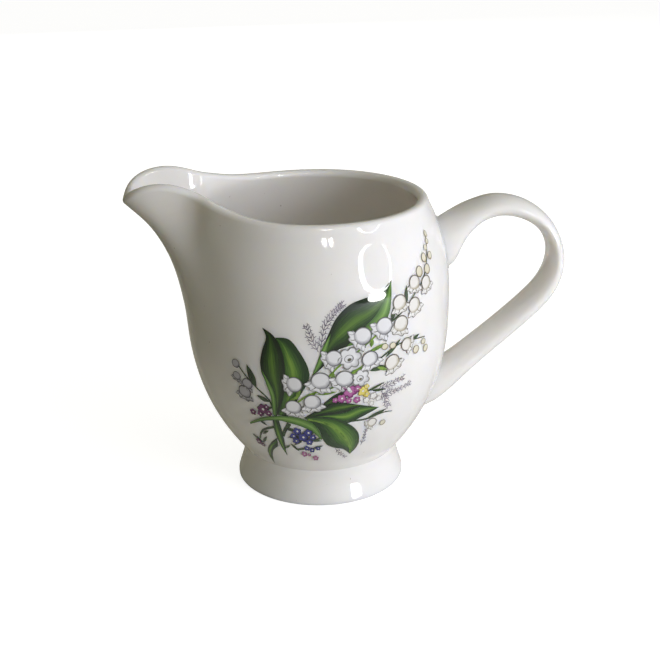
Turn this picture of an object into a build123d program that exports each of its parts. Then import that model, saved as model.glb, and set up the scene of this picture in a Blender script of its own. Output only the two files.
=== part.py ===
"""Porcelain cream jug: a cast body with its own spout and foot ring, a luted strap handle and printed transfers.

Frame: millimetres, +Z up, origin at the centre of the foot's resting plane. The spout points along -X, the handle
along +X. Body and handle are mirrored across the XZ plane. The two printed transfers face -Y and +Y.
"""

import os
from math import atan2, cos, exp, radians, sin, sqrt

from build123d import *

# ---- Body -------------------------------------------------------------------------------------------------------
WALL = 3.2  # thickness of the cast wall, measured square to it
BELLY_RADIUS = 40.75
LOWER_ARC_RADIUS, LOWER_ARC_Z = 66.3, 54.2  # the bowl's arc, and the height of its centre
UPPER_ARC_RADIUS, UPPER_ARC_Z = 65.6, 61.3  # the shoulder's arc, and the height of its centre
RIM_HEIGHT = 92.0  # crest of the plain rim
RIM_RADIUS = 33.2  # outside of the wall just under the lip
LIP_ROUND = 1.45  # both edges of the lip are glazed nearly full round

# ---- Foot and base ----------------------------------------------------------------------------------------------
FOOT_RADIUS = 26.8
FOOT_EDGE_ROUND = 0.7
FOOT_RING_WIDTH = 3.6
NECK_RADIUS = 24.85
NECK_Z = 7.7  # narrowest height, between the bowl and the foot
BOWL_START_Z = 9.0  # the bowl's own curve runs this far down into the neck
NECK_TOP_Z = 12.0
RECESS_HEIGHT = 4.4  # hollow under the base, inside the foot ring
FLOOR_Z = 9.6  # inside floor of the well
FLOOR_ROUND = 12.0

# ---- Spout ------------------------------------------------------------------------------------------------------
SPOUT_START_Z = 29.8  # the keel leaves the bowl's curve here, very slowly at first
SPOUT_REACH = 24.5  # how far the keel stands out of the round body at rim height
SPOUT_GROWTH = 4.49  # power with which the keel swings out
SPOUT_RISE_LEAN = 0.93  # how steeply it leans out above rim height
TROUGH_ANGLE = 14.9  # half-angle of the pouring trough, seen from the jug's axis
FLARE_ANGLE = 28.3  # half-angle of the soft flare beside it
FLARE_SHARE = 0.425  # share of the reach that belongs to the flare
ROOT_SPREAD = 1.1  # how much wider the spout's root has become at the bottom of the spread
ROOT_TOP_Z, ROOT_DEPTH = 90.0, 24.0  # where the root starts to spread, and over what height

# Lip of the spout seen from the side: a quarter ellipse at the tip, then a bell down to the level rim.
LIP_RISE = 7.7  # crest of the spout's lip above the plain rim
LIP_CREST_X = -46.0
LIP_NOSE_LENGTH = 12.2
LIP_FALL_LENGTH = 16.6

# ---- Handle -----------------------------------------------------------------------------------------------------
OUTERMOST = 10  # the cross-section at the handle's outermost bend
# Cross-sections from inside the shoulder, over the top, down to inside the bowl:
# outer edge x and z, inner edge x and z, width across the strap.
HANDLE_SECTIONS = [
    (32.0, 80.6, 36.6, 65.6, 13.0),
    (37.1, 83.4, 41.2, 68.0, 13.4),
    (40.4, 85.5, 43.4, 70.4, 13.4),
    (44.6, 87.8, 44.9, 75.6, 13.0),
    (49.0, 89.3, 48.5, 80.9, 12.6),
    (53.2, 90.0, 52.7, 83.6, 12.4),
    (58.2, 90.0, 57.6, 84.2, 12.2),
    (65.0, 88.2, 62.8, 83.1, 12.2),
    (71.8, 82.9, 68.1, 79.6, 12.2),
    (76.0, 75.6, 70.9, 74.1, 12.4),
    (77.4, 67.1, 70.8, 68.1, 12.6),
    (74.7, 58.6, 68.1, 62.8, 12.8),
    (69.7, 51.9, 63.8, 57.7, 13.0),
    (61.0, 44.1, 55.8, 50.3, 13.2),
    (52.5, 36.9, 47.3, 43.6, 13.6),
    (46.6, 31.2, 42.6, 40.2, 14.2),
    (41.4, 25.6, 39.4, 38.4, 14.8),
    (36.4, 20.4, 36.2, 37.0, 15.0),
    (30.0, 18.2, 31.6, 34.8, 14.8),
    (24.0, 17.4, 26.4, 32.0, 14.4),
]

# ---- Luting and print -------------------------------------------------------------------------------------------
SLIP_THICKNESS = 0.4  # dried slip between handle and body
SLIP_BEAD = 0.5  # how far it squeezes out around the strap
FILM_THICKNESS = 0.1  # fired transfer: printed colours with the glaze over them
FILM_EDGE = [  # edge of the printed spray, seen square on: across the jug and up
    (-29.0, 41.0),
    (-22.0, 62.0),
    (-4.0, 66.0),
    (12.0, 76.0),
    (28.0, 83.0),
    (33.5, 68.0),
    (32.0, 46.0),
    (22.0, 26.0),
    (4.0, 17.0),
    (-16.0, 13.0),
    (-26.0, 24.0),
]

# Heights of the body's cross-sections. They sit closer together where the spout swings out.
LEVELS = [BOWL_START_Z, 16, 24, 32, 41, 50, 58, 65, 71, 77, 82, 86.5, 91, 95.5, 100, 104]
HALF_ANGLES = [4, 8, 12, 16, 21, 28, 37, 48, 62, 78, 95, 112, 129, 146, 158, 169]
SEAM_ANGLE = 158  # the sections start and end here, clear of the handle and the prints
SECTION_ANGLES = [0, *HALF_ANGLES, 180, *[360 - a for a in reversed(HALF_ANGLES)]]


def from_seam(angles):
    """The same angles once round, starting and ending at the seam."""
    ahead = [a for a in angles if a >= SEAM_ANGLE]
    behind = [a + 360 for a in angles if a < SEAM_ANGLE]
    return [*ahead, *behind, SEAM_ANGLE + 360]


def arc_drop(distance, radius):
    """How far an arc of this radius has fallen away from its tangent after this distance."""
    return radius - sqrt(radius**2 - distance**2)


def round_radius(z):
    """Radius of the round body at a height, with no spout."""
    if z < LOWER_ARC_Z:
        return BELLY_RADIUS - arc_drop(LOWER_ARC_Z - z, LOWER_ARC_RADIUS)
    if z > UPPER_ARC_Z:
        return max(RIM_RADIUS, BELLY_RADIUS - arc_drop(min(z, RIM_HEIGHT) - UPPER_ARC_Z, UPPER_ARC_RADIUS))
    return BELLY_RADIUS


def keel_reach(z):
    """How far the spout's keel stands out of the round body at a height."""
    rise = max(0.0, min(z, RIM_HEIGHT) - SPOUT_START_Z) / (RIM_HEIGHT - SPOUT_START_Z)
    return SPOUT_REACH * rise**SPOUT_GROWTH + SPOUT_RISE_LEAN * max(0.0, z - RIM_HEIGHT)


def spout_share(angle, z):
    """Share of the keel's reach that is left at this angle beside it: 1 on the keel, 0 at the back."""
    angle = abs((angle + 180) % 360 - 180)
    below = min(1.0, max(0.0, (ROOT_TOP_Z - z) / ROOT_DEPTH))
    spread = 1 + ROOT_SPREAD * below**2 * (3 - 2 * below)
    trough = exp(-((angle / TROUGH_ANGLE / spread) ** 4))
    flare = (1 + (angle / FLARE_ANGLE / spread) ** 2) ** -1.3
    return (1 - FLARE_SHARE) * trough + FLARE_SHARE * flare


def outer_radius(angle, z):
    """Distance from the axis to the body's outside, with the angle in degrees from the keel."""
    return round_radius(z) + keel_reach(z) * spout_share(angle, z)


def section_point(angle, z, inset):
    """Point of the section at height z, moved in square to the surface by inset."""
    step = 0.5
    radius = outer_radius(angle, z)
    along = (outer_radius(angle + step, z) - outer_radius(angle - step, z)) / radians(2 * step)
    lean = (outer_radius(angle, z + step) - outer_radius(angle, z - step)) / (2 * step)
    level_inset = inset * sqrt(1 + lean**2 / (1 + (along / radius) ** 2))
    normal = radians(angle) - atan2(along, radius)
    x = radius * cos(radians(angle)) - level_inset * cos(normal)
    y = radius * sin(radians(angle)) - level_inset * sin(normal)
    return (-x, y)


def lip_height(x):
    """Height of the lip's crest at this distance along the jug."""
    along = (x - LIP_CREST_X) / (LIP_FALL_LENGTH if x > LIP_CREST_X else LIP_NOSE_LENGTH)
    if along > 0:
        rise = exp(-(along**2))
    else:
        rise = sqrt(max(0.0, 1 - along**2))
    return RIM_HEIGHT + LIP_RISE * rise


def body_solid(levels, inset):
    """Body without its foot, as one filled solid, moved in square to its surface by inset."""
    turns = from_seam(SECTION_ANGLES)
    with BuildPart() as shell:
        for z in levels:
            with BuildSketch(Plane.XY.offset(z)):
                with BuildLine():
                    points = [section_point(a, z, inset) for a in turns[:-1]]
                    add(Edge.make_spline(points, periodic=True, parameters=turns))
                make_face()
        loft()
    return shell.part


def strap_solid(sections, grow):
    """Length of the handle's strap through the given cross-sections, thicker all round by grow."""
    with BuildPart() as strap:
        for outer_x, outer_z, inner_x, inner_z, width in sections:
            outer_edge = Vector(outer_x, 0, outer_z)
            inner_edge = Vector(inner_x, 0, inner_z)
            across = outer_edge - inner_edge
            square_to_both = Vector(0, 1, 0).cross(across)
            middle = (outer_edge + inner_edge) * 0.5
            with BuildSketch(Plane(middle, x_dir=(0, 1, 0), z_dir=square_to_both)):
                with BuildLine():
                    half_width = width / 2 + grow
                    half_depth = across.length / 2 + grow
                    EllipticalCenterArc((0, 0), half_width, half_depth, start_angle=0, arc_size=180)
                    EllipticalCenterArc((0, 0), half_width, half_depth, start_angle=180, arc_size=180)
                make_face()
        loft()
    return strap.part


def handle_solid(grow):
    """Whole handle running into the body at both ends: the strap above its outermost bend, then below."""
    with BuildPart() as whole:
        add(strap_solid(HANDLE_SECTIONS[: OUTERMOST + 1], grow))
        add(strap_solid(HANDLE_SECTIONS[OUTERMOST:], grow))
    return whole.part


body_outside = body_solid(LEVELS, 0)

with BuildPart() as well:
    add(body_solid([FLOOR_Z, *LEVELS[1:]], WALL))
    fillet(well.faces().sort_by(Axis.Z)[0].edges(), FLOOR_ROUND)

# ---- Body: bowl, shoulder, spout and foot ring are one casting ---------------------------------------------------
with BuildPart() as jug_body:
    add(body_outside)
    add(well.part, mode=Mode.SUBTRACT)
    # everything above the lip's crest
    with BuildSketch(Plane.XZ):
        with BuildLine():
            nose = EllipticalCenterArc(
                (LIP_CREST_X, RIM_HEIGHT), LIP_NOSE_LENGTH, LIP_RISE, start_angle=90, arc_size=90
            )
            fall = Spline(*[(x, lip_height(x)) for x in range(-46, -5, 5)])
            Polyline(fall @ 1, (90, RIM_HEIGHT), (90, 120), (-90, 120), (-90, RIM_HEIGHT), nose @ 1)
        make_face()
    extrude(amount=90, both=True, mode=Mode.SUBTRACT)
    lip_edges = [e for e in jug_body.edges() if e.bounding_box().min.Z > RIM_HEIGHT - 1 and e.length > 10]
    fillet(lip_edges, LIP_ROUND)
    # foot ring, neck and recessed base
    with BuildSketch(Plane.XZ):
        with BuildLine():
            ring_inner = FOOT_RADIUS - FOOT_RING_WIDTH
            Polyline(
                (FOOT_RADIUS, FOOT_EDGE_ROUND),
                (FOOT_RADIUS, 0),
                (ring_inner, 0),
                (ring_inner - 1.0, RECESS_HEIGHT),
                (0, RECESS_HEIGHT),
                (0, NECK_TOP_Z),
                (NECK_RADIUS, NECK_TOP_Z),
                (NECK_RADIUS, NECK_Z + 2),
            )
            Spline(
                (NECK_RADIUS, NECK_Z + 2),
                (NECK_RADIUS, NECK_Z),
                (FOOT_RADIUS - 0.9, 3.6),
                (FOOT_RADIUS, FOOT_EDGE_ROUND),
            )
        make_face()
    revolve(axis=Axis.Z)

# ---- Handle and the slip that lutes it on --------------------------------------------------------------------------
slip_outside = body_solid(LEVELS, -SLIP_THICKNESS)

with BuildPart() as handle:
    add(handle_solid(0))
    add(slip_outside, mode=Mode.SUBTRACT)

with BuildPart() as luting:
    add(handle_solid(SLIP_BEAD))
    add(slip_outside, mode=Mode.INTERSECT)
    add(body_outside, mode=Mode.SUBTRACT)

lower_luting, upper_luting = luting.solids().sort_by(Axis.Z)

# ---- Printed transfers: one on each side, the second turned half round ---------------------------------------------
film_outside = body_solid(LEVELS, -FILM_THICKNESS)

with BuildPart() as front_transfer:
    with BuildSketch(Plane.XZ):
        with BuildLine():
            Spline(*FILM_EDGE, periodic=True)
        make_face()
    extrude(amount=BELLY_RADIUS + 5)
    add(film_outside, mode=Mode.INTERSECT)
    add(body_outside, mode=Mode.SUBTRACT)

with BuildPart() as back_transfer:
    with BuildSketch(Plane.XZ.offset(-BELLY_RADIUS - 5)):
        with BuildLine():
            Spline(*[(-x, z) for x, z in FILM_EDGE], periodic=True)
        make_face()
    extrude(amount=BELLY_RADIUS + 5)
    add(film_outside, mode=Mode.INTERSECT)
    add(body_outside, mode=Mode.SUBTRACT)

# ---- Pieces handed over --------------------------------------------------------------------------------------------
os.makedirs("parts", exist_ok=True)
jug_body.part.label = "jug_body"
export_step(jug_body.part, "parts/jug_body.step")
handle.part.label = "handle"
export_step(handle.part, "parts/handle.step")
upper_luting.label = "upper_handle_luting"
export_step(upper_luting, "parts/upper_handle_luting.step")
lower_luting.label = "lower_handle_luting"
export_step(lower_luting, "parts/lower_handle_luting.step")
front_transfer.part.label = "front_transfer"
export_step(front_transfer.part, "parts/front_transfer.step")
back_transfer.part.label = "back_transfer"
export_step(back_transfer.part, "parts/back_transfer.step")
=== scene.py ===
"""Looks for the porcelain cream jug: clear glaze over white porcelain, with a printed spray on each side.

The CAD pieces keep their meshes and only get a glaze, except for the handle, which is drawn again as one
smooth strap, and the two printed films, which become the lily-of-the-valley spray.
"""

import math
import random

import bpy
from mathutils import Matrix, Vector
from mathutils.bvhtree import BVHTree


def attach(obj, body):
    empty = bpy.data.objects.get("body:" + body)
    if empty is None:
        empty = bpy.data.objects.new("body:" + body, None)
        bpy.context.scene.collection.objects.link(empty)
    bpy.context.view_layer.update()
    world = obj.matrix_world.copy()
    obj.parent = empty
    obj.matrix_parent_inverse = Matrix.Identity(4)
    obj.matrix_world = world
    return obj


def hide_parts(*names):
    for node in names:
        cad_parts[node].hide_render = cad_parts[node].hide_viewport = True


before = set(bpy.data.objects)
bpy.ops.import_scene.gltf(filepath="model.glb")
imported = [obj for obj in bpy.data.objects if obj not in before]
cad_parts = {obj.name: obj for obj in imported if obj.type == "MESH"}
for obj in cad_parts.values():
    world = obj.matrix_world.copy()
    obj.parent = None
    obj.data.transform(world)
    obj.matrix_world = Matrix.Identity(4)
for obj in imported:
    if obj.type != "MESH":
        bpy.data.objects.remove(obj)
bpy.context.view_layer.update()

MM = 0.001
PRINT_RADIUS = 40.75  # mm; the print is laid out flat, then wrapped round the axis at the belly's radius
LAYER = 0.035  # mm, height of one printed layer over the one below
GRID = 1.1  # mm, spacing of the print's mesh
SPRIG_GAP = 1.1  # mm, from one pair of strokes to the next on a feathery sprig
OUTSIDE = 0.12  # m, how far off the axis a ray starts so that it meets the jug's outer surface first
BLACK, WHITE = (0, 0, 0), (1, 1, 1)
random.seed(7)


def new_object(name, points, faces, material=None):
    mesh = bpy.data.meshes.new(name)
    mesh.from_pydata(points, [], faces)
    if material is not None:
        mesh.materials.append(material)
    made = bpy.data.objects.new(name, mesh)
    bpy.context.collection.objects.link(made)
    return made


def stand_in(piece, node):
    """Shows a visual piece in place of the CAD node."""
    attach(piece, "root")
    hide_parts(node)


def outer_wall(surface, outward, height):
    """Place and normal of the jug's outer wall in a direction from the axis, at a height in metres."""
    place, normal, _, _ = surface.ray_cast(outward * OUTSIDE + Vector((0, 0, height)), -outward)
    return place, normal


# ---- Small node-tree helpers ---------------------------------------------------------------------
class Nodes:
    """Builds one material's node tree."""

    def __init__(self, name):
        self.material = bpy.data.materials.new(name)
        self.material.use_nodes = True
        self.tree = self.material.node_tree
        self.shader = self.tree.nodes["Principled BSDF"]

    def add(self, kind, **values):
        node = self.tree.nodes.new(kind)
        for key, value in values.items():
            if key in node.inputs:
                node.inputs[key].default_value = value
            else:
                setattr(node, key, value)
        return node

    def link(self, source, target):
        self.tree.links.new(source, target)

    def math(self, operation, *operands):
        node = self.add("ShaderNodeMath", operation=operation)
        for socket, value in zip(node.inputs, operands):
            if isinstance(value, (int, float)):
                socket.default_value = value
            else:
                self.link(value, socket)
        return node.outputs[0]

    def noise(self, scale, detail=2.0, vector=None, distortion=0.0):
        node = self.add("ShaderNodeTexNoise", Scale=scale, Detail=detail, Distortion=distortion)
        if vector is not None:
            self.link(vector, node.inputs["Vector"])
        return node.outputs[0]

    def ramp(self, value, stops):
        node = self.add("ShaderNodeValToRGB")
        elements = node.color_ramp.elements
        while len(elements) < len(stops):
            elements.new(0.5)
        for element, (position, colour) in zip(elements, stops):
            element.position = position
            element.color = (*colour, 1)
        self.link(value, node.inputs[0])
        return node.outputs[0]

    def mix(self, factor, first, second):
        node = self.add("ShaderNodeMix", data_type="RGBA")
        for socket, value in zip((node.inputs[0], node.inputs[6], node.inputs[7]), (factor, first, second)):
            if isinstance(value, (int, float)):
                socket.default_value = value
            elif isinstance(value, tuple):
                socket.default_value = (*value, 1)
            else:
                self.link(value, socket)
        return node.outputs[2]

    def object_position(self):
        return self.add("ShaderNodeTexCoord").outputs["Object"]

    def motif_uv(self):
        """(along, across) of a printed leaf or line, or (outward, round) of a flower, each from 0 to 1."""
        split = self.add("ShaderNodeSeparateXYZ")
        self.link(self.add("ShaderNodeTexCoord").outputs["UV"], split.inputs[0])
        return split.outputs[0], split.outputs[1]


GLAZE_REFRACTION = 1.52
GLAZE_WEIGHT = 0.35
GLAZE_ROUGHNESS = 0.02
BODY_ROUGHNESS, BODY_SMEAR = 0.03, 0.05  # lowest roughness under the glaze, and how much the smears add
RIPPLE_DEPTH = 0.0012  # m
UNGLAZED_HEIGHT = 0.00025  # m, the foot ring's resting face is wiped clean of glaze up to here


def glaze(nodes, colour):
    """Finishes a material as porcelain or print under a clear gloss glaze."""
    shader = nodes.shader
    if isinstance(colour, tuple):
        shader.inputs["Base Color"].default_value = (*colour, 1)
    else:
        nodes.link(colour, shader.inputs["Base Color"])
    position = nodes.object_position()
    smear = nodes.noise(60.0, 3.0, position)
    roughness = nodes.math("MULTIPLY_ADD", smear, BODY_SMEAR, BODY_ROUGHNESS)
    nodes.link(roughness, shader.inputs["Roughness"])
    shader.inputs["IOR"].default_value = GLAZE_REFRACTION
    shader.inputs["Coat Weight"].default_value = GLAZE_WEIGHT
    shader.inputs["Coat Roughness"].default_value = GLAZE_ROUGHNESS
    ripple = nodes.noise(38.0, 1.0, position)
    bump = nodes.add("ShaderNodeBump", Strength=0.05, Distance=RIPPLE_DEPTH)
    nodes.link(ripple, bump.inputs["Height"])
    nodes.link(bump.outputs[0], shader.inputs["Normal"])
    nodes.link(bump.outputs[0], shader.inputs["Coat Normal"])
    return nodes.material


def porcelain_material(name, tint):
    """White body seen through glaze: faintly cloudy, with sparse pinholes and a dry ring at the bottom."""
    nodes = Nodes(name)
    position = nodes.object_position()
    cloud = nodes.noise(22.0, 3.0, position)
    darker = tuple(channel * 0.965 for channel in tint)
    body = nodes.ramp(cloud, [(0.3, darker), (0.7, tint)])
    specks = nodes.noise(900.0, 1.0, position)
    speck_mask = nodes.ramp(specks, [(0.0, WHITE), (0.18, WHITE), (0.19, BLACK)])
    body = nodes.mix(speck_mask, body, (0.5, 0.47, 0.42))
    material = glaze(nodes, body)
    # thin porcelain lets a little warm light through
    nodes.shader.inputs["Subsurface Weight"].default_value = 0.4
    nodes.shader.inputs["Subsurface Radius"].default_value = (1.0, 0.8, 0.5)
    nodes.shader.inputs["Subsurface Scale"].default_value = 0.005
    split = nodes.add("ShaderNodeSeparateXYZ")
    nodes.link(position, split.inputs[0])
    above = nodes.math("GREATER_THAN", split.outputs[2], UNGLAZED_HEIGHT)
    coat = nodes.math("MULTIPLY", above, GLAZE_WEIGHT)
    nodes.link(coat, nodes.shader.inputs["Coat Weight"])
    return material


def leaf_material(name, dark, middle, bright, brightest):
    """Printed leaf: dark edges, a bright stripe at a share of its width, fine strokes running along it."""
    nodes = Nodes(name)
    along, across = nodes.motif_uv()
    combine = nodes.add("ShaderNodeCombineXYZ")
    nodes.link(nodes.math("MULTIPLY", along, 2.2), combine.inputs[0])
    nodes.link(nodes.math("MULTIPLY", across, 26.0), combine.inputs[1])
    strokes = nodes.noise(1.6, 3.0, combine.outputs[0], 0.4)
    offset = nodes.math("ABSOLUTE", nodes.math("SUBTRACT", across, brightest))
    spread = nodes.math("ADD", offset, nodes.math("MULTIPLY", nodes.math("SUBTRACT", strokes, 0.5), 0.5))
    ends = nodes.math("ABSOLUTE", nodes.math("SUBTRACT", along, 0.55))
    tone = nodes.math("ADD", spread, nodes.math("MULTIPLY", nodes.math("POWER", ends, 2.0), 0.9))
    colour = nodes.ramp(tone, [(0.0, bright), (0.16, middle), (0.4, dark), (0.9, dark)])
    return glaze(nodes, colour)


def bell_material(name, heart, body, rim, open_below=False):
    """Printed flower or bud: light heart, soft shading, thin dark outline, which an open bell lacks below."""
    nodes = Nodes(name)
    radial, turn = nodes.motif_uv()
    swing = nodes.math("COSINE", nodes.math("MULTIPLY_ADD", turn, 2 * math.pi, math.radians(50)))
    mottled = nodes.noise(900.0, 2.0, nodes.object_position())
    grain = nodes.math("MULTIPLY", nodes.math("SUBTRACT", mottled, 0.5), 0.3)
    lean = nodes.math("MULTIPLY", nodes.math("MULTIPLY", swing, radial), 0.3)
    shade = nodes.math("ADD", nodes.math("ADD", nodes.math("MULTIPLY", radial, 0.72), lean), grain)
    inside = nodes.ramp(shade, [(0.05, heart), (0.45, heart), (0.85, body), (1.0, body)])
    outline = nodes.ramp(radial, [(0.0, BLACK), (0.83, BLACK), (0.93, WHITE), (1.0, WHITE)])
    if open_below:
        height = nodes.math("SINE", nodes.math("MULTIPLY", turn, 2 * math.pi))
        from_below = nodes.math("MULTIPLY_ADD", height, 0.5, 0.5)
        closed = nodes.ramp(from_below, [(0.0, BLACK), (0.1, BLACK), (0.3, WHITE)])
        outline = nodes.math("MULTIPLY", outline, closed)
    return glaze(nodes, nodes.mix(outline, inside, rim))


def ink_material(name, light, dark):
    """Fine printed line work with an uneven density."""
    nodes = Nodes(name)
    density = nodes.noise(700.0, 2.0, nodes.object_position())
    return glaze(nodes, nodes.ramp(density, [(0.35, dark), (0.65, light)]))


# The print's colours. A leaf is (name, dark, middle, bright, where across it is brightest), an ink is
# (name, light, dark), and a flower is (name, heart, body, rim) and, for a bell, whether it is open below.
LEAF_TONES = [
    ("leaf_deep", (0.006, 0.018, 0.006), (0.024, 0.066, 0.01), (0.085, 0.175, 0.02), 0.5),
    ("leaf_bright", (0.012, 0.04, 0.01), (0.055, 0.14, 0.02), (0.17, 0.31, 0.04), 0.4),
    ("leaf_light", (0.06, 0.14, 0.03), (0.13, 0.26, 0.05), (0.22, 0.38, 0.09), 0.5),
]
STEM_TONES = [
    ("stem_green", (0.2, 0.33, 0.05), (0.07, 0.15, 0.02)),
    ("stem_dark", (0.05, 0.09, 0.035), (0.015, 0.03, 0.015)),
]
BELL_TONES = [
    ("bell", (0.72, 0.72, 0.73), (0.27, 0.27, 0.29), (0.1, 0.1, 0.1), True),
    ("bell_petal", (0.74, 0.74, 0.75), (0.5, 0.5, 0.52), (0.16, 0.16, 0.15), False),
    ("bell_pale", (0.72, 0.70, 0.66), (0.42, 0.38, 0.28), (0.09, 0.075, 0.055), True),
    ("bell_white", (0.74, 0.73, 0.71), (0.55, 0.53, 0.48), (0.1, 0.085, 0.065), False),
    ("bell_grey", (0.46, 0.45, 0.48), (0.2, 0.19, 0.22), (0.05, 0.045, 0.06), False),
    ("bud", (0.66, 0.62, 0.48), (0.36, 0.3, 0.17), (0.07, 0.06, 0.035), False),
]
INK_TONES = [
    ("ink_shadow", (0.2, 0.19, 0.14), (0.09, 0.085, 0.06)),
    ("ink_grey", (0.3, 0.27, 0.32), (0.12, 0.105, 0.14)),
]
FLOWER_TONES = [
    ("violet", (0.13, 0.018, 0.1), (0.06, 0.008, 0.05), (0.03, 0.004, 0.028)),
    ("magenta", (0.42, 0.12, 0.32), (0.2, 0.03, 0.15), (0.1, 0.012, 0.08)),
    ("pink", (0.4, 0.14, 0.28), (0.26, 0.06, 0.17), (0.14, 0.03, 0.09)),
    ("yellow", (0.72, 0.62, 0.16), (0.55, 0.42, 0.07), (0.25, 0.19, 0.03)),
    ("blue", (0.045, 0.05, 0.24), (0.012, 0.014, 0.09), (0.005, 0.005, 0.035)),
]


def make_palette():
    """The print's materials by name."""
    groups = [(leaf_material, LEAF_TONES), (ink_material, STEM_TONES), (bell_material, BELL_TONES),
              (ink_material, INK_TONES), (bell_material, FLOWER_TONES)]
    return {tones[0]: make(*tones) for make, rows in groups for tones in rows}


PALETTE = make_palette()
GLAZED_BODY = porcelain_material("glazed_porcelain", (0.80, 0.785, 0.765))
GLAZED_SLIP = porcelain_material("glazed_slip", (0.78, 0.77, 0.735))


# ---- Curves in the print's flat layout, all in mm ------------------------------------------------
def smooth_curve(points, t):
    """Point at 0..1 along a soft curve through the given points."""
    spans = len(points) - 1
    index = min(int(t * spans), spans - 1)
    local = t * spans - index
    before = points[max(index - 1, 0)]
    start, end = points[index], points[index + 1]
    after = points[min(index + 2, spans)]
    result = []
    for axis in (0, 1):
        p0, p1, p2, p3 = before[axis], start[axis], end[axis], after[axis]
        bend = (2 * p0 - 5 * p1 + 4 * p2 - p3) * local**2 + (3 * p1 - p0 - 3 * p2 + p3) * local**3
        result.append(p1 + 0.5 * ((p2 - p0) * local + bend))
    return tuple(result)


def heading(points, t, back, ahead):
    """Way that the soft curve runs at t, measured from a little behind it to a little ahead."""
    return Vector(smooth_curve(points, min(1, t + ahead))) - Vector(smooth_curve(points, max(0, t - back)))


def curve_length(points):
    return sum(math.dist(a, b) for a, b in zip(points, points[1:]))


def flat_way(angle):
    return Vector((math.cos(angle), math.sin(angle)))


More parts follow.
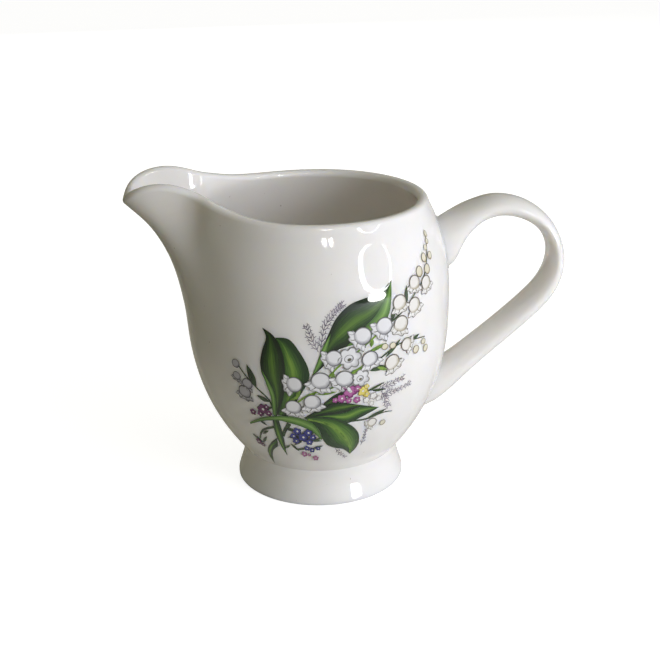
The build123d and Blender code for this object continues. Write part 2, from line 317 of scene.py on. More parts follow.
class Print:
    """One transfer: motifs laid out flat as (round, up) in mm, made one mesh and wrapped onto the jug."""

    def __init__(self):
        self.vertices = []
        self.faces = []
        self.coordinates = []
        self.inks = []

    def grid(self, rows, ink, layer):
        """rows is a list of equally long rows of ((round, up), (along, across))."""
        first = len(self.vertices)
        width = len(rows[0])
        for row in rows:
            for place, coordinate in row:
                self.vertices.append((*place, layer))
                self.coordinates.append(coordinate)
        for r in range(len(rows) - 1):
            for c in range(width - 1):
                a = first + r * width + c
                self.faces.append((a, a + 1, a + width + 1, a + width))
                self.inks.append(ink)

    def leaf(self, left, right, ink, layer):
        """Fills between two edges that run from the leaf's base to its tip."""
        steps = max(6, int(max(curve_length(left), curve_length(right)) / GRID))
        widest = max(math.dist(smooth_curve(left, i / 8), smooth_curve(right, i / 8)) for i in range(9))
        across = max(4, int(widest / GRID) + 1)
        rows = []
        for i in range(steps + 1):
            a, b = smooth_curve(left, i / steps), smooth_curve(right, i / steps)
            row = []
            for j in range(across + 1):
                t = j / across
                row.append(((a[0] + (b[0] - a[0]) * t, a[1] + (b[1] - a[1]) * t), (i / steps, t)))
            rows.append(row)
        self.grid(rows, ink, layer)

    def line(self, points, ink, layer, start=0.5, end=0.25):
        """A drawn line that tapers from one width to another."""
        steps = max(3, int(curve_length(points) / GRID) + 1)
        rows = []
        for i in range(steps + 1):
            t = i / steps
            here = Vector(smooth_curve(points, t))
            ahead = heading(points, t, 0.02, 0.02)
            side = Vector((-ahead.y, ahead.x)).normalized() * (start + (end - start) * t) / 2
            rows.append([(tuple(here - side), (t, 0.0)), (tuple(here + side), (t, 1.0))])
        self.grid(rows, ink, layer)

    def disc(self, centre, outline, ink, layer, rings=4, steps=32):
        """A flower or bud whose edge is outline(angle) in mm from its centre."""
        rows = []
        for ring in range(rings + 1):
            share = ring / rings
            row = []
            for i in range(steps + 1):
                angle = 2 * math.pi * i / steps
                x, y = outline(angle)
                row.append(((centre[0] + x * share, centre[1] + y * share), (share, i / steps)))
            rows.append(row)
        self.grid(rows, ink, layer)

    def oval(self, centre, width, height, tilt, ink, layer):
        turn = Matrix.Rotation(math.radians(tilt), 2)

        def outline(angle):
            return tuple(turn @ Vector((math.cos(angle) * width / 2, math.sin(angle) * height / 2)))

        self.disc(centre, outline, ink, layer)

    def blossom(self, centre, size, petals, ink, layer, tilt=0.0):
        """An open flower of round petals."""
        def outline(angle):
            reach = size * (0.62 + 0.38 * abs(math.cos(petals * (angle - math.radians(tilt)) / 2)) ** 0.6) / 2
            return (math.cos(angle) * reach, math.sin(angle) * reach)

        self.disc(centre, outline, ink, layer, rings=3, steps=petals * 8)

    def bell(self, centre, size, tilt, ink, petal_ink, layer):
        """Nodding flower: a round dome over a wavy skirt of curled petals. Tilt 0 hangs straight down."""
        turn = Matrix.Rotation(math.radians(tilt), 2)

        def at(x, y):
            place = turn @ Vector((x * size, y * size))
            return (centre[0] + place.x, centre[1] + place.y)

        def skirt(angle):
            wave = 1 + 0.15 * math.cos(7 * angle + 1.6)
            place = turn @ Vector((math.cos(angle) * 0.6 * size * wave, math.sin(angle) * 0.25 * size * wave))
            return tuple(place)

        def dome(angle):
            x, y = math.cos(angle) * 0.45, math.sin(angle) * 0.42 + 0.08
            if y < 0:
                x *= 1 - 0.35 * y
            place = turn @ Vector((x * size, y * size))
            return tuple(place)

        self.disc(at(0, -0.3), skirt, petal_ink, layer, rings=4, steps=56)
        self.disc(centre, dome, ink, layer + 1)
        for side in (-1, 1):
            self.oval(at(side * 0.5, -0.27), size * 0.3, size * 0.17, tilt - side * 30, petal_ink, layer + 2)
            crease = [at(side * 0.1, -0.3), at(side * 0.15, -0.4), at(side * 0.24, -0.47)]
            self.line(crease, "ink_shadow", layer + 2, 0.28, 0.16)

    def open_bell(self, centre, size, tilt, layer):
        """Flower seen from the front: a pointed star round a cup."""
        self.blossom(centre, size * 1.2, 6, "bell_petal", layer, tilt)
        cup = (centre[0] - size * 0.04, centre[1] - size * 0.02)
        heart = (centre[0] - size * 0.02, centre[1] - size * 0.06)
        self.oval(cup, size * 0.46, size * 0.42, tilt, "bell", layer + 1)
        self.oval(heart, size * 0.2, size * 0.16, tilt, "ink_shadow", layer + 2)

    def sprig(self, points, length=2.3):
        """Feathery sprig: a thin stalk with pairs of short forked strokes, up to about length long."""
        ink, layer = "ink_grey", 1
        self.line(points, ink, layer, 0.22, 0.14)
        count = int(curve_length(points) / SPRIG_GAP)
        for i in range(1, count + 1):
            t = i / count
            root = Vector(smooth_curve(points, t))
            ahead = heading(points, t, 0.06, 0.03)
            forward = math.atan2(ahead.y, ahead.x)
            for side in (-1, 1):
                reach = length * random.uniform(0.75, 1.1) * (1.1 - 0.45 * t)
                angle = forward + side * random.uniform(0.55, 0.85)
                middle = root + flat_way(angle) * reach * 0.55
                tip = root + flat_way(angle - side * 0.25) * reach
                self.line([tuple(root), tuple(middle), tuple(tip)], ink, layer, 0.3, 0.16)
                barb = middle + flat_way(angle + side * 0.7) * reach * 0.4
                self.line([tuple(middle), tuple(barb)], ink, layer, 0.24, 0.14)

    def small_leaf(self, root, tip, width, ink, layer):
        """A narrow leaf or twig that is pointed at both ends."""
        root, tip = Vector(root), Vector(tip)
        side = Vector((-(tip - root).y, (tip - root).x)).normalized() * width / 2
        first, second = root + (tip - root) * 0.35, root + (tip - root) * 0.7
        left = [tuple(root), tuple(first + side), tuple(second + side * 0.8), tuple(tip)]
        right = [tuple(root), tuple(first - side), tuple(second - side * 0.8), tuple(tip)]
        self.leaf(left, right, ink, layer)

    def wrapped(self, name, surface, turned):
        """Wraps the flat print onto the jug's outer surface, turned round the axis by some radians."""
        points = []
        for across, up, layer in self.vertices:
            angle = across / PRINT_RADIUS + turned
            place, normal = outer_wall(surface, Vector((math.sin(angle), -math.cos(angle), 0)), up * MM)
            points.append(place + normal * (layer + 1) * LAYER * MM)
        printed = new_object(name, points, self.faces)
        mesh = printed.data
        for ink in PALETTE.values():
            mesh.materials.append(ink)
        order = list(PALETTE)
        layer_uv = mesh.uv_layers.new(name="motif")
        for polygon, ink in zip(mesh.polygons, self.inks):
            polygon.material_index = order.index(ink)
            polygon.use_smooth = True
            for loop in polygon.loop_indices:
                layer_uv.data[loop].uv = self.coordinates[mesh.loops[loop].vertex_index]
        mesh.update()
        return printed


# ---- The spray -----------------------------------------------------------------------------------
def draw_ferns(art):
    art.sprig([(-2.6, 57.7), (-1.6, 64.4), (1.1, 68.7), (3.4, 70.8)])
    art.sprig([(-3.3, 57.4), (-5.0, 61.1), (-6.5, 64.9)])
    art.sprig([(14.3, 43.0), (18.6, 44.2), (23.3, 45.1)])
    art.sprig([(16.1, 41.5), (20.8, 41.4), (26.5, 42.2)])
    art.sprig([(16.0, 42.6), (17.6, 39.6), (19.2, 36.8)])
    art.sprig([(12.3, 22.6), (12.7, 26.0), (12.7, 28.8)], 1.5)
    art.sprig([(2.4, 22.7), (4.5, 20.2), (6.9, 18.3)], 1.5)


def draw_big_leaves(art):
    # tall leaf on the right, its folded left edge, its lighter right side
    tall_left = [(-5.2, 50), (-2.6, 57.2), (-0.3, 62.9), (2, 67.5),
                 (5.8, 70.9), (10.6, 72.3), (14.9, 73), (19.4, 76)]
    tall_right = [(-5.2, 50), (-1.8, 53), (1.9, 57.5), (5.6, 58.9),
                  (9.3, 61.6), (14.3, 64.7), (18, 69.5), (19.4, 76)]
    art.leaf(tall_left, tall_right, "leaf_deep", 2)
    fold = [(4.5, 58.5), (9.3, 63.2), (14.4, 68), (19.4, 76)]
    art.leaf(fold, [(4.5, 58.5), (11, 60.5), (17.6, 66), (19.4, 76)], "leaf_light", 3)
    strip = [(-5.2, 50), (-2.5, 53.3), (-0.8, 58.1), (0.3, 62.9)]
    art.leaf([(-5.2, 50), (-3.6, 54.5), (-2.2, 58.5), (0.3, 62.9)], strip, "leaf_light", 3)
    # left leaf: a bright lobe behind, a dark blade in front, a light edge turned over
    lobe_left = [(-15.5, 61.3), (-14.8, 58.2), (-14, 54.4), (-13.6, 50.4),
                 (-14, 46.2), (-15.4, 40), (-17, 35.8)]
    lobe_right = [(-15.5, 61.3), (-11.6, 61.1), (-8.6, 57.4), (-6.3, 52.6),
                  (-6.2, 48.4), (-9.6, 42), (-13.2, 35.6)]
    art.leaf(lobe_left, lobe_right, "leaf_bright", 2)
    blade_left = [(-19.3, 63.9), (-18.3, 61), (-19.6, 57), (-20.4, 53),
                  (-19.9, 49), (-17.8, 45), (-16.9, 40), (-17.8, 35.3)]
    blade_right = [(-19.3, 63.9), (-16.2, 62), (-14.2, 58.6), (-13.1, 54.6),
                   (-13.1, 49), (-13.8, 43), (-15.4, 38.5), (-16.8, 35.3)]
    art.leaf(blade_left, blade_right, "leaf_deep", 4)
    turned = [(-20.4, 51.5), (-19, 46.4), (-17.9, 41.9), (-18, 35.6)]
    art.leaf(turned, [(-20, 50.6), (-17.3, 45.8), (-16.4, 41.5), (-17, 35.6)], "leaf_light", 5)


def draw_low_leaves(art):
    # dark leaf half hidden behind the bells
    art.leaf([(-3, 39.6), (1.4, 43.6), (7.6, 45.6)], [(-3, 39.6), (3, 41), (7.6, 45.6)], "leaf_deep", 2)
    # long leaf to the right, dark above its fold and brighter below
    fold = [(-7.8, 35.7), (-0.9, 36.6), (5, 37.3), (9.5, 38.6), (15.9, 37)]
    art.leaf([(-7.8, 35.7), (-2.8, 39), (2.5, 40.8), (8, 39.6), (15.9, 37)], fold, "leaf_deep", 3)
    art.leaf(fold, [(-7.8, 35.7), (-1.2, 35.4), (5, 32.9), (10.9, 34.9), (15.9, 37)], "leaf_bright", 3)
    # broad leaf hanging to the lower right
    broad_top = [(-8.3, 35.7), (-2.9, 36), (2.1, 35), (6.5, 32.4),
                 (9.8, 28.9), (11, 25), (10.6, 22), (8.7, 19.4)]
    broad_low = [(-8.3, 35.7), (-5.5, 33.6), (-3.4, 31), (-2.4, 27.8),
                 (-0.8, 24.8), (2.4, 23.1), (5.6, 22.1), (8.7, 19.4)]
    art.leaf(broad_top, broad_low, "leaf_bright", 4)
    art.line([(-7, 35), (-1.9, 33.6), (3.5, 29.6), (7, 24.3), (8.5, 20.4)], "stem_green", 5, 0.7, 0.25)
    # arching blade across the front
    arch_top = [(-27.8, 30.8), (-22.5, 33.8), (-16.6, 35.5), (-11.3, 35.8),
                (-6.9, 34.6), (-3.9, 31.8), (-2.4, 27.2)]
    arch_low = [(-27.9, 30), (-22.1, 32.6), (-16.8, 33.8), (-13.2, 33.4),
                (-9.1, 32.2), (-5.6, 30.2), (-2.6, 26.9)]
    art.leaf(arch_top, arch_low, "leaf_light", 6)
    # cut stems
    upright_left = [(-18.4, 34.9), (-18.7, 29.2), (-18.1, 23.9), (-16.7, 18.6)]
    upright_right = [(-16.6, 35.4), (-16, 30.3), (-16, 24.9), (-16.7, 18.6)]
    art.leaf(upright_left, upright_right, "leaf_bright", 4)
    slanted_left = [(-18.6, 26.4), (-22.4, 23.1), (-25.7, 18.5), (-26.6, 12)]
    slanted_right = [(-19.2, 22.6), (-22, 20.4), (-24.3, 17), (-26.6, 12)]
    art.leaf(slanted_left, slanted_right, "leaf_bright", 3)
    art.line([(-13, 33), (-15, 29.8), (-16, 27.5)], "stem_dark", 3, 1.5, 0.9)
    art.line([(-18.6, 30.9), (-23.4, 28.6), (-26, 24.7)], "stem_dark", 3, 0.9, 0.6)


def draw_stalks(art):
    art.line([(-12.7, 38), (-6.5, 43.6), (0.9, 46.2), (8.9, 51.8), (15, 53.6)], "stem_green", 4, 0.6, 0.5)
    art.line([(15, 53.6), (21.9, 56.7), (32.1, 56)], "stem_dark", 4, 0.5, 0.3)
    art.line([(-5.6, 42.9), (1.8, 52.1), (8.8, 57.3), (14.2, 61.3), (18.4, 64)], "stem_green", 4, 0.6, 0.5)
    tall_stalk = [(18.4, 64), (23.7, 67), (27.2, 69.9), (32.4, 73.8), (36.1, 78.9), (39, 85)]
    art.line(tall_stalk, "stem_dark", 4, 0.55, 0.3)
    left_stalk = [(-17.6, 35.6), (-18.5, 40.7), (-22.3, 44.4), (-26.2, 48.3), (-28.8, 51.8)]
    art.line(left_stalk, "stem_dark", 3, 0.6, 0.35)
    art.line([(5.3, 33.7), (11.7, 33.5), (17.7, 34.6), (21.4, 34.2)], "stem_dark", 3, 0.7, 0.3)
    short_stalks = [
        ((-10, 42), (-8.6, 46.5)), ((-4, 44), (2, 44.6)), ((1, 47), (0.6, 52)), ((5, 50), (10, 51.6)),
        ((12, 57.5), (12.5, 60)), ((11, 56), (17, 58)), ((14, 51), (17.4, 49.4)),
        ((-13, 40), (-9.6, 43.4)),
    ]
    for root, tip in short_stalks:
        art.small_leaf(root, tip, 1.1, "stem_green", 5)
    twigs = [
        ((-22.3, 44.4), (-25, 51.6), 2.2), ((-18.5, 40.2), (-22.6, 41.8), 1.5),
        ((12, 33.6), (19, 35.8), 1.3), ((23.7, 67), (24.7, 73.6), 1.4), ((18.6, 64), (20, 69), 1.5),
        ((10, 51), (18, 50.4), 1.9), ((16.6, 53.4), (22, 58.2), 1.2), ((25.6, 56.4), (29.6, 57.6), 1.2),
        ((-14, 25), (-11, 21.4), 0.9), ((-14, 24), (-17, 22), 0.8), ((-11, 30), (-14.6, 30.8), 0.8),
        ((10.8, 43.4), (16.9, 45.6), 0.8), ((-5, 27), (-1.6, 27.8), 0.7), ((-24, 27), (-21, 29), 0.9),
        ((-9, 28), (-14.4, 27.4), 1.3), ((-9, 28), (-13.6, 31.6), 1.2), ((-8, 28), (-4.2, 31), 1.1),
        ((-8, 27), (-2.4, 26.4), 1.2), ((-9, 27), (-12.6, 24.2), 1.2), ((-8, 23), (-12.4, 22.2), 1.0),
        ((-6, 23), (-2, 24.4), 1.0), ((-25.4, 23), (-29, 25.8), 1.2), ((-25.4, 23), (-22.6, 26.2), 1.0),
        ((-21, 31), (-24, 33), 0.9), ((12.4, 43.6), (17.4, 43), 0.9), ((-17, 39), (-21.6, 36.4), 0.8),
    ]
    for root, tip, width in twigs:
        art.small_leaf(root, tip, width, "stem_dark", 4)


def draw_bells(art):
    white_bells = [
        ((-10.8, 47), 5.6, -80), ((-2.9, 48), 6.4, -20), ((3.9, 48.3), 6.2, -35), ((-11.1, 39), 5.6, -10),
        ((-5.2, 41), 5.8, 8), ((0.7, 55.2), 5.6, -65), ((9.1, 61.1), 6.2, -55), ((15.8, 63), 6.2, -48),
    ]
    for centre, size, tilt in white_bells:
        art.bell(centre, size, tilt, "bell", "bell_petal", 7)
    art.open_bell((5.6, 55), 6.0, 12, 8)
    art.open_bell((8.9, 48.4), 4.8, 40, 8)
    art.bell((11.8, 53.7), 5.6, 20, "bell", "bell_petal", 7)
    pale_bells = [
        ((19.2, 51.2), 5.6, 30), ((21.8, 62.4), 5.8, -20), ((21.7, 68.8), 5.4, 10),
        ((27.3, 66.8), 5.4, 20), ((28, 73.2), 5.0, -10), ((33.4, 71.9), 5.0, 15), ((24.4, 55.8), 4.6, 70),
        ((14.1, 31.6), 3.8, -50),
    ]
    for centre, size, tilt in pale_bells:
        art.bell(centre, size, tilt, "bell_pale", "bell_white", 5)
    grey_bells = [
        ((-29, 46.8), 3.2, -20), ((-25.5, 44.9), 4.0, -30), ((-26.9, 41.8), 5.0, -15),
    ]
    for centre, size, tilt in grey_bells:
        art.bell(centre, size, tilt, "bell_grey", "bell_grey", 4)
    buds = [
        ((30.9, 76), 3.0, 3.3, 0), ((34.9, 75.8), 2.9, 3.1, 0), ((34.4, 79.2), 2.4, 2.8, 10),
        ((37.9, 79), 2.3, 2.4, -20), ((36.5, 81.6), 1.8, 1.8, 0), ((38.4, 83), 1.7, 1.6, 0),
        ((38.9, 85), 1.5, 1.9, 10), ((16.4, 56.9), 2.2, 2.0, 0), ((19.1, 56.7), 2.2, 2.0, 0),
        ((28.1, 53.1), 2.6, 2.6, 0), ((32.6, 52.2), 2.2, 2.4, 0), ((31.4, 54.7), 2.0, 1.9, 0),
        ((18.6, 30.7), 2.2, 2.0, 0),
    ]
    for centre, width, height, tilt in buds:
        art.oval(centre, width, height, tilt, "bud", 6)
    art.oval((-28.9, 51), 2.8, 2.8, 0, "bell_grey", 5)


def draw_small_flowers(art):
    blossoms = [
        ((-21.2, 37.1), 4.0, "violet"), ((-19.4, 36), 2.4, "violet"), ((-22.4, 35.4), 2.4, "violet"),
        ((-25.1, 35.4), 2.4, "violet"), ((-19.9, 38.2), 2.2, "violet"), ((-27.2, 23), 2.9, "violet"),
        ((-25.8, 22), 1.8, "violet"), ((5.9, 44.3), 4.4, "magenta"), ((8, 45), 2.6, "magenta"),
        ((3.4, 42.2), 3.2, "magenta"), ((1.5, 41.8), 2.0, "magenta"), ((8.1, 41.2), 2.4, "magenta"),
        ((5.6, 41.3), 2.0, "magenta"), ((4.6, 46), 2.4, "magenta"), ((9.7, 43.9), 3.4, "yellow"),
        ((11, 42.7), 2.2, "yellow"), ((10.9, 45.3), 1.8, "yellow"), ((-12.2, 28.2), 2.6, "blue"),
        ((-10.7, 30.2), 3.2, "blue"), ((-8.9, 27.9), 3.8, "blue"), ((-7, 29.8), 3.2, "blue"),
        ((-5.6, 28), 2.6, "blue"), ((-11.5, 26.2), 2.8, "blue"), ((-6.9, 26), 2.8, "blue"),
        ((-8, 23.2), 2.3, "blue"), ((-6.2, 22.4), 2.3, "blue"), ((-3.9, 23.2), 1.9, "blue"),
        ((-9.3, 20.4), 2.5, "pink"), ((-5, 18.6), 2.5, "pink"), ((-7.4, 20.2), 1.5, "pink"),
    ]
    for centre, size, ink in blossoms:
        art.blossom(centre, size, 5, ink, 7, random.uniform(0, 72))
        art.blossom((centre[0] + 0.1, centre[1] + 0.1), size * 0.26, 5, "bell_white", 8)
    pale_blossoms = [
        ((11.2, 40.6), 2.2), ((13.4, 41.6), 2.6), ((15.2, 40.4), 2.0), ((13, 39), 1.8),
    ]
    for centre, size in pale_blossoms:
        art.blossom(centre, size, 5, "bell_white", 5, random.uniform(0, 72))


def draw_spray():
    art = Print()
    draw_ferns(art)
    draw_big_leaves(art)
    draw_low_leaves(art)
    draw_stalks(art)
    draw_bells(art)
    draw_small_flowers(art)
    return art


# ---- Handle --------------------------------------------------------------------------------------
# Cross-sections from the upper root over the top, round the outermost bend and down to the lower root.
# Each is (outer x, outer z, inner x, inner z, width across) in mm.
HANDLE_SECTIONS = [
    (32.0, 80.6, 36.6, 65.6, 13.0),
    (37.1, 83.4, 41.2, 68.0, 13.4),
    (40.4, 85.5, 43.4, 70.4, 13.4),
    (44.6, 87.8, 44.9, 75.6, 13.0),
    (49.0, 89.3, 48.5, 80.6, 12.6),
    (53.2, 90.5, 52.7, 83.4, 12.4),
    (58.2, 90.5, 57.6, 84.2, 12.2),
    (65.2, 88.7, 62.9, 83.2, 12.2),
    (72.4, 83.3, 68.7, 80.1, 12.2),
    (76.8, 75.7, 72.2, 74.8, 12.4),
    (78.2, 66.9, 72.6, 68.4, 12.6),
    (75.4, 58.2, 69.8, 62.2, 12.8),
    (69.7, 51.9, 64.6, 57.0, 13.0),
    (61.0, 44.1, 56.4, 49.6, 13.2),
    (52.5, 36.9, 47.9, 42.8, 13.6),
    (46.6, 31.2, 43.1, 39.0, 14.2),
    (41.4, 26.0, 39.8, 37.0, 14.8),
    (36.6, 22.0, 36.6, 35.2, 15.0),
    (31.0, 20.0, 32.6, 33.0, 14.8),
]
HALF_WALL = 1.6  # mm, the furthest that the strap's ends reach into the jug's wall
STRAP_STEPS, ROUND_STEPS = 150, 48  # faces along the strap and round it


def handle_section(share):
    """Cross-section at 0..1 along the strap, on a soft curve through the given ones."""
    spans = len(HANDLE_SECTIONS) - 1
    index = min(int(share * spans), spans - 1)
    t = share * spans - index
    picks = [HANDLE_SECTIONS[min(max(index + offset, 0), spans)] for offset in (-1, 0, 1, 2)]
    values = []
    for p0, p1, p2, p3 in zip(*picks):
        low = ((1 - t) ** 3 * p0 + (3 * t**3 - 6 * t**2 + 4) * p1) / 6
        high = ((-3 * t**3 + 3 * t**2 + 3 * t + 1) * p2 + t**3 * p3) / 6
        values.append(low + high)
    return values


def kept_out_of_well(point, surface):
    """Moves a point that lies deeper than half the wall back out to the middle of the wall."""
    radius = math.hypot(point.x, point.y)
    outward = Vector((point.x / radius, point.y / radius, 0))
    place, _ = outer_wall(surface, outward, point.z)
    if place is None:
        return point
    deepest = math.hypot(place.x, place.y) - HALF_WALL * MM
    if radius >= deepest:
        return point
    return outward * deepest + Vector((0, 0, point.z))


def build_handle(surface):
    """One smooth strap of oval cross-section whose ends reach half way into the wall."""
    points, faces = [], []
    for i in range(STRAP_STEPS + 1):
        outer_x, outer_z, inner_x, inner_z, width = handle_section(i / STRAP_STEPS)
        middle = Vector(((outer_x + inner_x) / 2, 0, (outer_z + inner_z) / 2))
        half = Vector(((outer_x - inner_x) / 2, 0, (outer_z - inner_z) / 2))
        for j in range(ROUND_STEPS):
            angle = 2 * math.pi * j / ROUND_STEPS
            place = middle + half * math.cos(angle) + Vector((0, width / 2, 0)) * math.sin(angle)
            points.append(kept_out_of_well(place * MM, surface))
    for i in range(STRAP_STEPS):
        for j in range(ROUND_STEPS):
            a, b = i * ROUND_STEPS + j, i * ROUND_STEPS + (j + 1) % ROUND_STEPS
            faces.append((a, b, b + ROUND_STEPS, a + ROUND_STEPS))
    faces.append(tuple(range(ROUND_STEPS))[::-1])
    faces.append(tuple(range(STRAP_STEPS * ROUND_STEPS, (STRAP_STEPS + 1) * ROUND_STEPS)))
    handle = new_object("glazed_handle", points, faces, GLAZED_BODY)
    for polygon in handle.data.polygons:
        polygon.use_smooth = len(polygon.vertices) == 4
    stand_in(handle, "handle")


# ---- Pieces --------------------------------------------------------------------------------------
def dress_cad_node(name, material):
    """Gives a CAD piece its glaze and leaves its mesh as it is."""
    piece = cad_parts[name]
    piece.data.materials.clear()
    piece.data.materials.append(material)
    return piece


body = dress_cad_node("jug_body", GLAZED_BODY)
dress_cad_node("upper_handle_luting", GLAZED_SLIP)
dress_cad_node("lower_handle_luting", GLAZED_SLIP)

surface = BVHTree.FromObject(body, bpy.context.evaluated_depsgraph_get())
build_handle(surface)
spray = draw_spray()
for name, node, turned in [("front_print", "front_transfer", 0.0), ("back_print", "back_transfer", math.pi)]:
    stand_in(spray.wrapped(name, surface, turned), node)


# ---- Stage ---------------------------------------------------------------------------------------
# painted shade on the floor: its colour for light bounced onto the jug, dim on the left, bright on the lit
# right
FLOOR_DIM, FLOOR_MIDDLE, FLOOR_BRIGHT = (0.22, 0.21, 0.16), (0.68, 0.66, 0.6), (0.85, 0.85, 0.88)
FLOOR_FADE, FLOOR_START = 3.2, 0.45  # rise per metre towards the lit side, from this value under the jug
FLOOR_HALF = 3.0  # m
FLOOR_GLOW, FLOOR_GREY = 0.82, 0.45  # as the camera sees it: its own white, and how much shadow shows
BRIGHT_SIDE = Vector((0.92, -0.40, 0.04)).normalized()  # towards the lit side of the room
ROOM_TONES = [
    (0.0, (0.11, 0.106, 0.066)),
    (0.35, (0.14, 0.136, 0.09)),
    (0.65, (0.385, 0.38, 0.34)),
    (1.0, (0.95, 0.945, 1.04)),
]
ROOM_STRENGTH = 1.05
JUG_MIDDLE = Vector((0, 0, 0.05))
HIGHLIGHT = Vector((0.0133, -0.0356, 0.0806))  # where the ring lamp shows on the body
GLOW_DISTANCE = 0.65  # m, from there to the lamps
# outer and inner edge of the ring lamp: azimuth, elevation and half sizes, in degrees
RING_EDGES = [(48.4, 11.6, 16, 15.2), (50, 12.3, 13.4, 14.0)]
KEY_AZIMUTH, KEY_ELEVATION = 48.056, 11.125
CAMERA_AIM = Vector((0.00363, 0, 0.04784))
CAMERA_AZIMUTH, CAMERA_ELEVATION, CAMERA_ROLL = -5.0, 21.467, -0.606
CAMERA_DISTANCE = 0.37717
CAMERA_LENS = 64.9  # mm on a 36 mm wide sensor


def add_floor():
    """A white sweep with a faint shadow for the camera; its colour for bounced light is painted shade, dim on
    the left side, so it lights the jug less there.
    """
    nodes = Nodes("floor_white")
    tree = nodes.tree
    tree.nodes.remove(nodes.shader)
    split = nodes.add("ShaderNodeSeparateXYZ")
    nodes.link(nodes.object_position(), split.inputs[0])
    across = nodes.math("MULTIPLY_ADD", split.outputs[0], FLOOR_FADE, FLOOR_START)
    bounce = nodes.add("ShaderNodeBsdfDiffuse")
    # painted shade: the bounced colour darkens from the lit right to the dim left
    tones = nodes.ramp(across, [(0.0, FLOOR_DIM), (0.25, FLOOR_MIDDLE), (1.0, FLOOR_BRIGHT)])
    nodes.link(tones, bounce.inputs["Color"])
    seen = nodes.add("ShaderNodeAddShader")
    white = nodes.add("ShaderNodeEmission", Color=(1, 1, 1, 1), Strength=FLOOR_GLOW)
    shaded = nodes.add("ShaderNodeBsdfDiffuse", Color=(FLOOR_GREY, FLOOR_GREY, FLOOR_GREY, 1))
    nodes.link(white.outputs[0], seen.inputs[0])
    nodes.link(shaded.outputs[0], seen.inputs[1])
    choose = nodes.add("ShaderNodeMixShader")
    nodes.link(nodes.add("ShaderNodeLightPath").outputs["Is Camera Ray"], choose.inputs[0])
    nodes.link(bounce.outputs[0], choose.inputs[1])
    nodes.link(seen.outputs[0], choose.inputs[2])
    nodes.link(choose.outputs[0], tree.nodes["Material Output"].inputs[0])
    corners = [(x * FLOOR_HALF, y * FLOOR_HALF, 0) for x, y in [(-1, -1), (1, -1), (1, 1), (-1, 1)]]
    new_object("floor", corners, [(0, 1, 2, 3)], nodes.material)


def glow_material(name, colour, strength):
    nodes = Nodes(name)
    glow = nodes.add("ShaderNodeEmission", Color=(*colour, 1), Strength=strength)
    nodes.tree.nodes.remove(nodes.shader)
    nodes.link(glow.outputs[0], nodes.tree.nodes["Material Output"].inputs[0])
    return nodes.material


def way_to(azimuth, elevation):
    """Direction by degrees round from the front towards the handle, and degrees up."""
    a, e = math.radians(azimuth), math.radians(elevation)
    return Vector((math.sin(a) * math.cos(e), -math.cos(a) * math.cos(e), math.sin(e)))


def seen_from_highlight(azimuth, elevation):
    """Place of a lamp by its direction from the highlight."""
    return HIGHLIGHT + way_to(azimuth, elevation) * GLOW_DISTANCE


def oval_points(azimuth, elevation, wide, high, steps):
    """Points round an oval as seen from the highlight: its middle and half sizes in degrees."""
    turns = [2 * math.pi * i / steps for i in range(steps)]
    return [seen_from_highlight(azimuth + wide * math.cos(t), elevation + high * math.sin(t)) for t in turns]


def add_glow(name, points, faces, colour, strength):
    """A bright shape that only shows as a highlight in the glaze."""
    lamp = new_object(name, points, faces, glow_material(name + "_glow", colour, strength))
    lamp.visible_camera = False
    lamp.visible_diffuse = False
    lamp.visible_shadow = False
    lamp.visible_transmission = False


def add_ring_lamp():
    """The photographer's ring lamp, seen as an oval ring on the belly and again on the foot and handle."""
    steps = 64
    points = [point for edge in RING_EDGES for point in oval_points(*edge, steps)]
    faces = [(i, (i + 1) % steps, steps + (i + 1) % steps, steps + i) for i in range(steps)]
    add_glow("ring_lamp", points, faces, (0.95, 1.0, 0.97), 24.0)


def add_spot_glow(name, azimuth, elevation, wide, high, strength):
    """A small filled oval highlight, placed and sized as in oval_points."""
    steps = 24
    points = oval_points(azimuth, elevation, wide, high, steps)
    add_glow(name, points, [tuple(range(steps))], (1.0, 1.0, 0.96), strength)


def add_soft_lamp(name, place, size, watts, colour):
    """A round soft light towards the jug that isn't itself mirrored in the glaze."""
    data = bpy.data.lights.new(name, "AREA")
    data.shape = "DISK"
    data.size = size
    data.energy = watts
    data.color = colour
    lamp = bpy.data.objects.new(name, data)
    turn = (JUG_MIDDLE - place).to_track_quat("-Z", "Y").to_matrix().to_4x4()
    lamp.matrix_world = Matrix.Translation(place) @ turn
    lamp.visible_glossy = False
    lamp.visible_camera = False
    bpy.context.collection.objects.link(lamp)


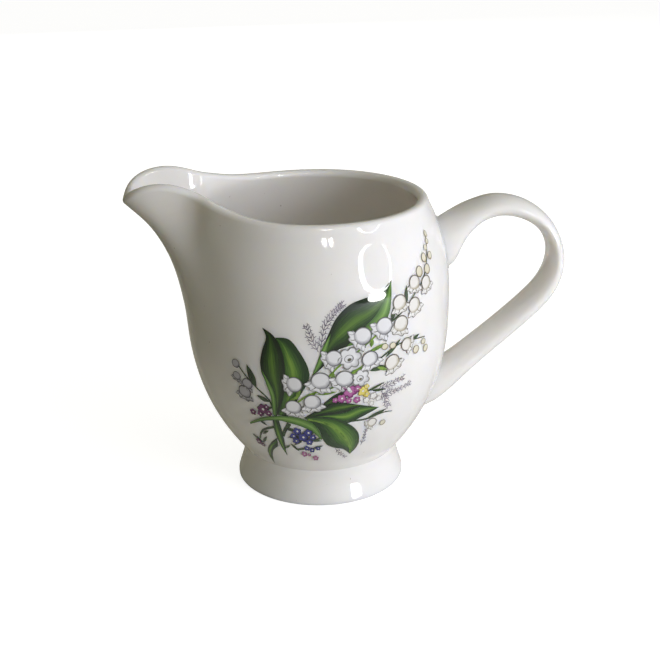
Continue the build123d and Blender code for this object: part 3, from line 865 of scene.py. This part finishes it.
def add_world():
    """A pale room, bright to the right and dim and warm to the left. The camera sees plain white."""
    world = bpy.data.worlds.new("studio")
    bpy.context.scene.world = world
    world.use_nodes = True
    tree = world.node_tree
    direction = tree.nodes.new("ShaderNodeTexCoord")
    toward = tree.nodes.new("ShaderNodeVectorMath")
    toward.operation = "DOT_PRODUCT"
    toward.inputs[1].default_value = BRIGHT_SIDE
    tree.links.new(direction.outputs["Generated"], toward.inputs[0])
    level = tree.nodes.new("ShaderNodeMapRange")
    level.inputs["From Min"].default_value = -1.0
    tree.links.new(toward.outputs["Value"], level.inputs["Value"])
    ramp = tree.nodes.new("ShaderNodeValToRGB")
    while len(ramp.color_ramp.elements) < len(ROOM_TONES):
        ramp.color_ramp.elements.new(0.5)
    for element, (position, colour) in zip(ramp.color_ramp.elements, ROOM_TONES):
        element.position = position
        element.color = (*colour, 1)
    tree.links.new(level.outputs[0], ramp.inputs[0])
    room = tree.nodes["Background"]
    room.inputs[1].default_value = ROOM_STRENGTH
    tree.links.new(ramp.outputs[0], room.inputs[0])
    white = tree.nodes.new("ShaderNodeBackground")
    white.inputs[0].default_value = (1, 1, 1, 1)
    choose = tree.nodes.new("ShaderNodeMixShader")
    tree.links.new(tree.nodes.new("ShaderNodeLightPath").outputs["Is Camera Ray"], choose.inputs[0])
    tree.links.new(room.outputs[0], choose.inputs[1])
    tree.links.new(white.outputs[0], choose.inputs[2])
    tree.links.new(choose.outputs[0], tree.nodes["World Output"].inputs[0])


def add_camera():
    """The photograph's viewpoint: about 21 degrees above the table and 5 degrees round towards the spout."""
    data = bpy.data.cameras.new("camera")
    data.lens = CAMERA_LENS
    data.sensor_width = 36.0
    camera = bpy.data.objects.new("camera", data)
    turn = Matrix.Rotation(math.radians(CAMERA_AZIMUTH), 4, "Z")
    lean = Matrix.Rotation(math.radians(90 - CAMERA_ELEVATION), 4, "X")
    roll = Matrix.Rotation(math.radians(CAMERA_ROLL), 4, "Z")
    place = CAMERA_AIM + way_to(CAMERA_AZIMUTH, CAMERA_ELEVATION) * CAMERA_DISTANCE
    camera.matrix_world = Matrix.Translation(place) @ turn @ lean @ roll
    bpy.context.collection.objects.link(camera)
    bpy.context.scene.camera = camera


add_floor()
add_world()
add_ring_lamp()
add_spot_glow("lamp_foot", 46, -5.0, 8.5, 2.4, 34.0)
add_spot_glow("window_left", 3.3, 35.3, 2.8, 2.8, 14.0)
add_spot_glow("window_right", 10.2, 35.3, 2.6, 2.8, 14.0)
add_soft_lamp("key", seen_from_highlight(KEY_AZIMUTH, KEY_ELEVATION), 0.36, 3.0, (0.93, 0.95, 1.0))
add_soft_lamp("back_fill", Vector((-0.1, 0.95, 0.45)), 0.9, 3.3, (1.0, 0.97, 0.84))
add_camera()
bpy.context.scene.view_settings.view_transform = "Standard"
